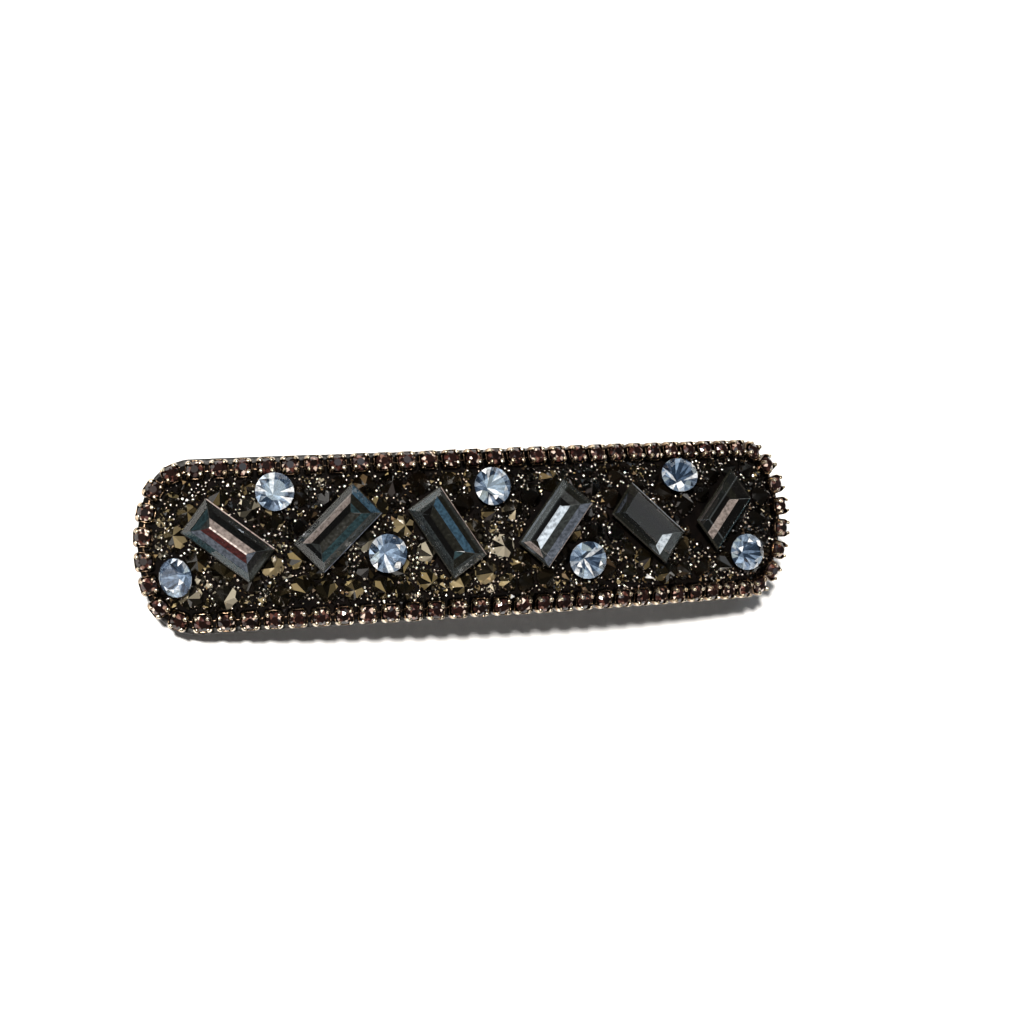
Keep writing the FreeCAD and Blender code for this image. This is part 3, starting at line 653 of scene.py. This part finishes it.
cup_seats = []
for run in RUNS:
    node = "chain_cups_" + run
    places = seats(node, -1)
    cup_seats += [place for place, _ in places]
    side, _, prong_top = places[0][1]
    shape, shine = cup(side, prong_top)
    batch = Batch()
    for place, _ in places:
        seat = tilted(place, chance.uniform(-2, 2), chance.uniform(-2, 2))
        # painted highlight: the front run's cups are painted brighter, the others duller, each with random
        # wear
        painted_light_and_wear = chance.uniform(*(FRONT_PAINTED_LIGHT if run == "front" else OTHER_PAINTED_LIGHT))
        batch.add(shape, seat, shine=[min(1.0, s * painted_light_and_wear * chance.uniform(0.75, 1.0)) for s in shine])
        corner = math.sqrt(2) * (side / 2 - CUP_CORNER) + CUP_CORNER
        reach = corner - CUP_LEAN - CUP_DRAFT - CUP_WALL / 2
        for quarter in range(4):
            size = PRONG_BEAD * chance.uniform(0.75, 1.15)
            tip = np.array(polar(reach, 45 + 90 * quarter, prong_top - 0.35 * size))
            rounded = prong_ball[0] * size * [1, 1, 0.7] + tip
            batch.add((rounded, prong_ball[1]), seat, shine=chance.uniform(0.7, 1.0))
    batch.build("stamped_cups_" + run, [gold], "clip", "antique_gold", [node], smooth=True)

    node = "chain_stones_" + run
    batch = Batch()
    for place, size in seats(node, 1):
        height = size[2]
        girdle = 0.6 * height
        shape, kinds = brilliant(CHAIN_FOLD, size[0] / 2, girdle, 0.1, 0.24 * size[0], height)
        seat = tilted(place, chance.uniform(-6, 6), chance.uniform(-6, 6), girdle)
        # painted reflections: a random tone for each facet, the table's kept dark
        facet = [0.5 * chance.random()] + [chance.random() ** 1.3 for _ in kinds[1:]]
        batch.add(shape, spun(seat, chance.uniform(0, 45)), facet=facet)
    batch.build("cup_stones_" + run, [topaz], "clip", "smoked_topaz", [node])

    node = "chain_links_" + run
    batch = Batch()
    for place, size in seats(node, -1):
        batch.add(link(*size), place, shine=LINK_SHINE)
    batch.build("cup_links_" + run, [gold], "clip", "antique_gold", [node], smooth=True)


# ---- large stones -------------------------------------------------------------------------------

# how each stone was tipped when it was set: towards +X, towards +Y, about a point this far up
LEAN_PIVOT = 2.0
BAGUETTE_LEANS = [(0, 0), (1, -1), (0, 1), (-1, 0), (1, 1), (7, 5)]
ROUND_LEANS = [(-32, 0), (2, 1), (-1, 2), (0, -3), (-14, 0), (-24, 15), (-16, 8)]

# the painted reflection on each baguette's back: long steps from left to right, front end, rear end, right
# edge
BAGUETTE_TONES = [
    ((TEAL, STEEL, MAROON, ROSE, BLACK, OLIVE), (OLIVE, BLACK, STEEL), (OLIVE, TEAL, SLATE), ROSE),
    ((OLIVE, ROSE, BLACK, OLIVE, TEAL, SLATE), (OLIVE, BLACK, SLATE), (BLUE, OLIVE, TEAL), STEEL),
    ((SLATE, SLATE, BLACK, OLIVE, BLUE, OLIVE), (SLATE, OLIVE, TEAL), (TEAL, SLATE, BLACK), ROSE),
    ((STEEL, SLATE, BLACK, ICE, SLATE, STEEL), (SLATE, ROSE, OLIVE), (OLIVE, SLATE, BLACK), ROSE),
    ((OLIVE, OLIVE, BLACK, OLIVE, BLACK, OLIVE), (SLATE, ICE, OLIVE), (TEAL, STEEL, OLIVE), ICE),
    ((OLIVE, ROSE, BLACK, BLACK, ROSE, BLACK), (OLIVE, SLATE, BLACK), (BLACK, OLIVE, BLACK), TEAL)]

FLASH_SHARE = 0.16         # crown facets of a round stone given a bright painted reflection, as if they mirror the light whole

large = []
for i in range(1, 7):
    node = "baguette_%d" % i
    place, size = seats(node, 1)[0]
    if place[0, 0] < 0:
        place = spun(place, 180)
    large.append((place, size[0] / 2, size[1] / 2))
    bands, front, rear, rim = BAGUETTE_TONES[i - 1]
    shape, kinds, tones = step_cut(*size, bands, (front, rear), rim)
    batch = Batch()
    batch.add(shape, leaned(place, *BAGUETTE_LEANS[i - 1], LEAN_PIVOT), slot=kinds, facet=tones)
    batch.build("step_cut_stone_%d" % i, [smoky_glass, smoky_foil], "clip", "smoky_crystal", [node])

for i in range(1, 8):
    node = "round_stone_%d" % i
    place, size = seats(node, 1)[0]
    large.append((place, size[0] / 2, size[0] / 2))
    shape, kinds = brilliant(ROUND_FOLD, size[0] / 2, 0.65 * size[2], 0.14, 0.28 * size[0], size[2])
    flashes = [kind == 0 and chance.random() < FLASH_SHARE for kind in kinds]
    # painted reflections: flashing facets get a bright tone, the rest a random one
    facet = [chance.uniform(0.75, 1.0) if flash else chance.random() for flash in flashes]
    batch = Batch()
    seat = spun(leaned(place, *ROUND_LEANS[i - 1], LEAN_PIVOT), chance.uniform(0, 45))
    batch.add(shape, seat, slot=[1 if flash else kind for flash, kind in zip(flashes, kinds)], facet=facet)
    batch.build("brilliant_%d" % i, [ice_glass, ice_foil], "clip", "ice_blue_crystal", [node])


# ---- fill ---------------------------------------------------------------------------------------

def sway(spread, limit):
    """A random lean in degrees, never past the limit."""
    return max(-limit, min(limit, chance.gauss(0, spread)))


# a stone whose facet would throw the key light straight at the camera, given an extra turn: its place
# among the fill stones and its turn in degrees
TURNED = {166: 13}

fill_seats = []
for i in range(1, 7):
    node = "fill_stones_%d" % i
    batch = Batch()
    for place, size in seats(node, -1):
        radius = size[0] / 2
        fill_seats.append((place, radius, size[2]))
        shape = pointed(radius * chance.uniform(1.02, 1.14), 0.2, size[2] * chance.uniform(0.9, 1.1))
        x, y = place[0, 3] / MM, place[1, 3] / MM
        painted_light_trend = 0.40 - 0.010 * x - 0.025 * y     # painted light: the fill is painted darker towards the catch and the rear
        tone = min(1.0, max(0.0, chance.gauss(painted_light_trend, 0.28)))
        seat = spun(tilted(place, sway(8, 13), sway(8, 13)), chance.uniform(0, 45))
        seat = spun(seat, TURNED.get(len(fill_seats) - 1, 0))
        lit = 0.55 + 0.45 * tone        # painted light: paler stones get brighter painted facets
        batch.add(shape, seat, tone=tone, facet=[chance.random() * lit for _ in shape[1]])
    batch.build("pointed_stones_%d" % i, [bronze], "clip", "bronze_mirror_glass", [node])


def under_large(point):
    """True where a point lies under or against one of the large stones."""
    for place, half_x, half_y in large:
        x, y, _ = (point - place[:3, 3]) @ place[:3, :3] / MM
        if half_x == half_y and math.hypot(x, y) < half_x:
            return True
        if half_x != half_y and abs(x) < half_x and abs(y) < half_y:
            return True
    return False


def shard():
    """A chip with eight uneven facets."""
    tips = [(1, 0, 0), (-1, 0, 0), (0, 1, 0), (0, -1, 0), (0, 0, 1), (0, 0, -1)]
    points = np.array(tips) * [[chance.uniform(0.6, 1.3)] for _ in tips]
    return points, [[0, 2, 4], [2, 1, 4], [1, 3, 4], [3, 0, 4], [2, 0, 5], [1, 2, 5], [3, 1, 5], [0, 3, 5]]


# the glints between the fill stones: tiny balls and glass chips
GLINT_TRIES = 60           # at each fill stone
GLINT_REACH = (-0.3, 0.9)  # from the stone's rim
GLINT_SIZE = (0.13, 0.29)
GLINT_SPACING = 0.42
GLINT_RISE = 0.6           # highest on a neighbouring stone's flank
CUP_CLEARANCE = 1.15       # from a cup's middle
NEIGHBOURHOOD = 3.0        # how far off a stone can lift a glint
BALL_SHARE = 0.5
CHIP_STRETCH = 1.4
small_ball = bead(1)

beads, chips = Batch(), Batch()
cup_points = np.array([place[:3, 3] for place in cup_seats])
points = np.array([place[:3, 3] for place, _, _ in fill_seats])
planes = np.array([place[:3, :2] for place, _, _ in fill_seats])
radii = np.array([radius for _, radius, _ in fill_seats])
heights = np.array([height for _, _, height in fill_seats])
laid = np.empty((0, 3))
for place, radius, height in fill_seats:
    for _ in range(GLINT_TRIES):
        angle = chance.uniform(0, 2 * math.pi)
        reach = radius + chance.uniform(*GLINT_REACH)
        size = chance.uniform(*GLINT_SIZE)
        offset = np.array([reach * math.cos(angle), reach * math.sin(angle), 0.6 * size])
        point = place[:3, 3] + place[:3, :3] @ offset * MM
        if under_large(point):
            continue
        if np.linalg.norm(cup_points - point, axis=1).min() < CUP_CLEARANCE * MM:
            continue
        away = np.linalg.norm(np.einsum("ni,nij->nj", point - points, planes), axis=1) / MM
        near = np.linalg.norm(point - points, axis=1) < NEIGHBOURHOOD * MM
        lift = np.where(near, heights * (1 - away / radii), 0).clip(0).max()
        if lift > GLINT_RISE:
            continue
        if len(laid) and np.linalg.norm(laid - point, axis=1).min() < GLINT_SPACING * MM:
            continue
        laid = np.vstack([laid, point])
        seat = spun(place, chance.uniform(0, 360))
        seat[:3, 3] = point + place[:3, 2] * lift * MM
        if chance.random() < BALL_SHARE:
            squat = size * np.array([1, chance.uniform(0.8, 1.0), 0.85])
            beads.add((small_ball[0] * squat, small_ball[1]), seat, tone=math.sqrt(chance.random()))
        else:
            corners, faces = shard()
            seat = tilted(seat, chance.uniform(-60, 60), chance.uniform(-60, 60))
            # painted light: a few chip facets painted lit, most dark
            chips.add((corners * size * CHIP_STRETCH, faces), seat, tone=chance.random(),
                      facet=[chance.random() ** 3 for _ in faces])
beads.build("bright_beads", [bead_metal], "clip", "antique_gold", [], smooth=True)
chips.build("glass_chips", [bronze], "clip", "bronze_mirror_glass", [])


# ---- resin bed and leather ----------------------------------------------------------------------

def remade(node, name, voxel, rounds, lumps, material):
    """A soft-edged skin over a CAD sheet, with hand-laid unevenness."""
    source = bpy.data.objects.new(name + "_source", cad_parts[node].data.copy())
    bpy.context.scene.collection.objects.link(source)
    weld = source.modifiers.new("weld", "WELD")
    weld.merge_threshold = SAME_POINT
    remesh = source.modifiers.new("remesh", "REMESH")
    remesh.mode = "VOXEL"
    remesh.voxel_size = voxel * MM
    smooth = source.modifiers.new("smooth", "SMOOTH")
    smooth.iterations = rounds
    graph = bpy.context.evaluated_depsgraph_get()
    mesh = bpy.data.meshes.new_from_object(source.evaluated_get(graph))
    bpy.data.objects.remove(source)
    moved = []
    for vertex in mesh.vertices:
        wave = noise.noise(vertex.co / (1.7 * MM)) + 0.5 * noise.noise(vertex.co / (0.6 * MM))
        moved.append(vertex.co + vertex.normal * wave * lumps * MM)
    mesh.vertices.foreach_set("co", np.array(moved, np.float32).ravel())
    mesh.materials.clear()
    mesh.materials.append(material)
    mesh.polygons.foreach_set("use_smooth", [True] * len(mesh.polygons))
    settle(mesh, name, "clip", [node])


remade("glue_bed", "resin_bed", 0.32, 3, 0.10, resin)
remade("leather_backing", "leather_sheet", 0.25, 4, 0.02, leather)


# ---- barrette -----------------------------------------------------------------------------------

for name in ("base_plate", "hinge_pin", "clasp_arm", "catch_bridge", "catch_rivets", "pinch_leg_front",
             "pinch_leg_rear", "tension_bar"):
    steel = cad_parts[name]
    steel.data.materials.clear()
    steel.data.materials.append(spring if name == "tension_bar" else nickel)
    weld = steel.modifiers.new("weld", "WELD")
    weld.merge_threshold = SAME_POINT
    bevel = steel.modifiers.new("edges", "BEVEL")
    bevel.width = 0.06 * MM
    bevel.segments = 2
    bevel.limit_method = "ANGLE"
    bevel.angle_limit = math.radians(40)
    # shades the curved strips more evenly across their long thin triangles
    evened = steel.modifiers.new("evened", "WEIGHTED_NORMAL")
    evened.keep_sharp = False


# ---- stage, light and camera --------------------------------------------------------------------

def aimed(name, energy, size, place, target, colour):
    """A square soft light at a place, in metres, facing a target."""
    lamp = bpy.data.lights.new(name, "AREA")
    lamp.energy = energy
    lamp.size = size
    lamp.color = colour
    light = bpy.data.objects.new(name, lamp)
    light.location = place
    light.rotation_euler = (Vector(target) - Vector(place)).to_track_quat("-Z", "Y").to_euler()
    bpy.context.scene.collection.objects.link(light)
    return lamp


FLOOR_HALF = 0.5
floor_material, tree, bsdf = shader("pale_floor", Roughness=0.9)
pale = ramp(tree, noise_at(tree, 0.004), (0.3, grey(0.86)), (0.7, grey(0.88)))
tree.links.new(pale, bsdf.inputs["Base Color"])
mesh = bpy.data.meshes.new("floor")
corners = [(-FLOOR_HALF, -FLOOR_HALF, 0), (FLOOR_HALF, -FLOOR_HALF, 0),
           (FLOOR_HALF, FLOOR_HALF, 0), (-FLOOR_HALF, FLOOR_HALF, 0)]
mesh.from_pydata(corners, [], [(0, 1, 2, 3)])
mesh.materials.append(floor_material)
floor = bpy.data.objects.new("floor", mesh)
bpy.context.scene.collection.objects.link(floor)

world = bpy.data.worlds.new("studio")
world.use_nodes = True
tree = world.node_tree
dim = tree.nodes["Background"]
dim.inputs["Color"].default_value = (0.70, 0.67, 0.60, 1)
dim.inputs["Strength"].default_value = 0.06
# the camera sees a white backdrop; the clip mirrors a dim room
backdrop = add(tree, "Background", values={"Color": (1.0, 1.0, 1.0, 1), "Strength": 1.0})
seen = add(tree, "LightPath").outputs["Is Camera Ray"]
mix = add(tree, "MixShader", {0: seen, 1: dim.outputs[0], 2: backdrop.outputs[0]})
tree.links.new(mix.outputs[0], tree.nodes["World Output"].inputs["Surface"])
bpy.context.scene.world = world

key = aimed("key", 34.0, 0.10, (-0.53, 0.24, 1.06), (0, 0, 0), (1.0, 0.97, 0.92))
key.shape = "DISK"
aimed("overhead_panel", 1.0, 0.5, (-0.15, 0.45, 1.05), (0, 0, 0), (0.80, 0.90, 1.0))
aimed("side_panel", 0.4, 0.4, (0.75, -0.10, 0.70), (0, 0, 0), (0.85, 0.92, 1.0))
aimed("front_panel", 0.5, 0.4, (-0.15, -0.85, 0.50), (0, 0, 0), (1.0, 0.86, 0.80))

# the photo's camera, fitted to the border's outline, its rows of cups and, loosely, its shadow
camera_data = bpy.data.cameras.new("camera")
camera_data.lens = 86.8
camera_data.clip_start = 0.01
camera = bpy.data.objects.new("camera", camera_data)
camera.location = (-0.1302, 0.00136, 0.28352)
camera.rotation_euler = [math.radians(a) for a in (1.564, -26.090, -3.154)]
bpy.context.scene.collection.objects.link(camera)
bpy.context.scene.camera = camera
bpy.context.scene.view_settings.view_transform = "Standard"
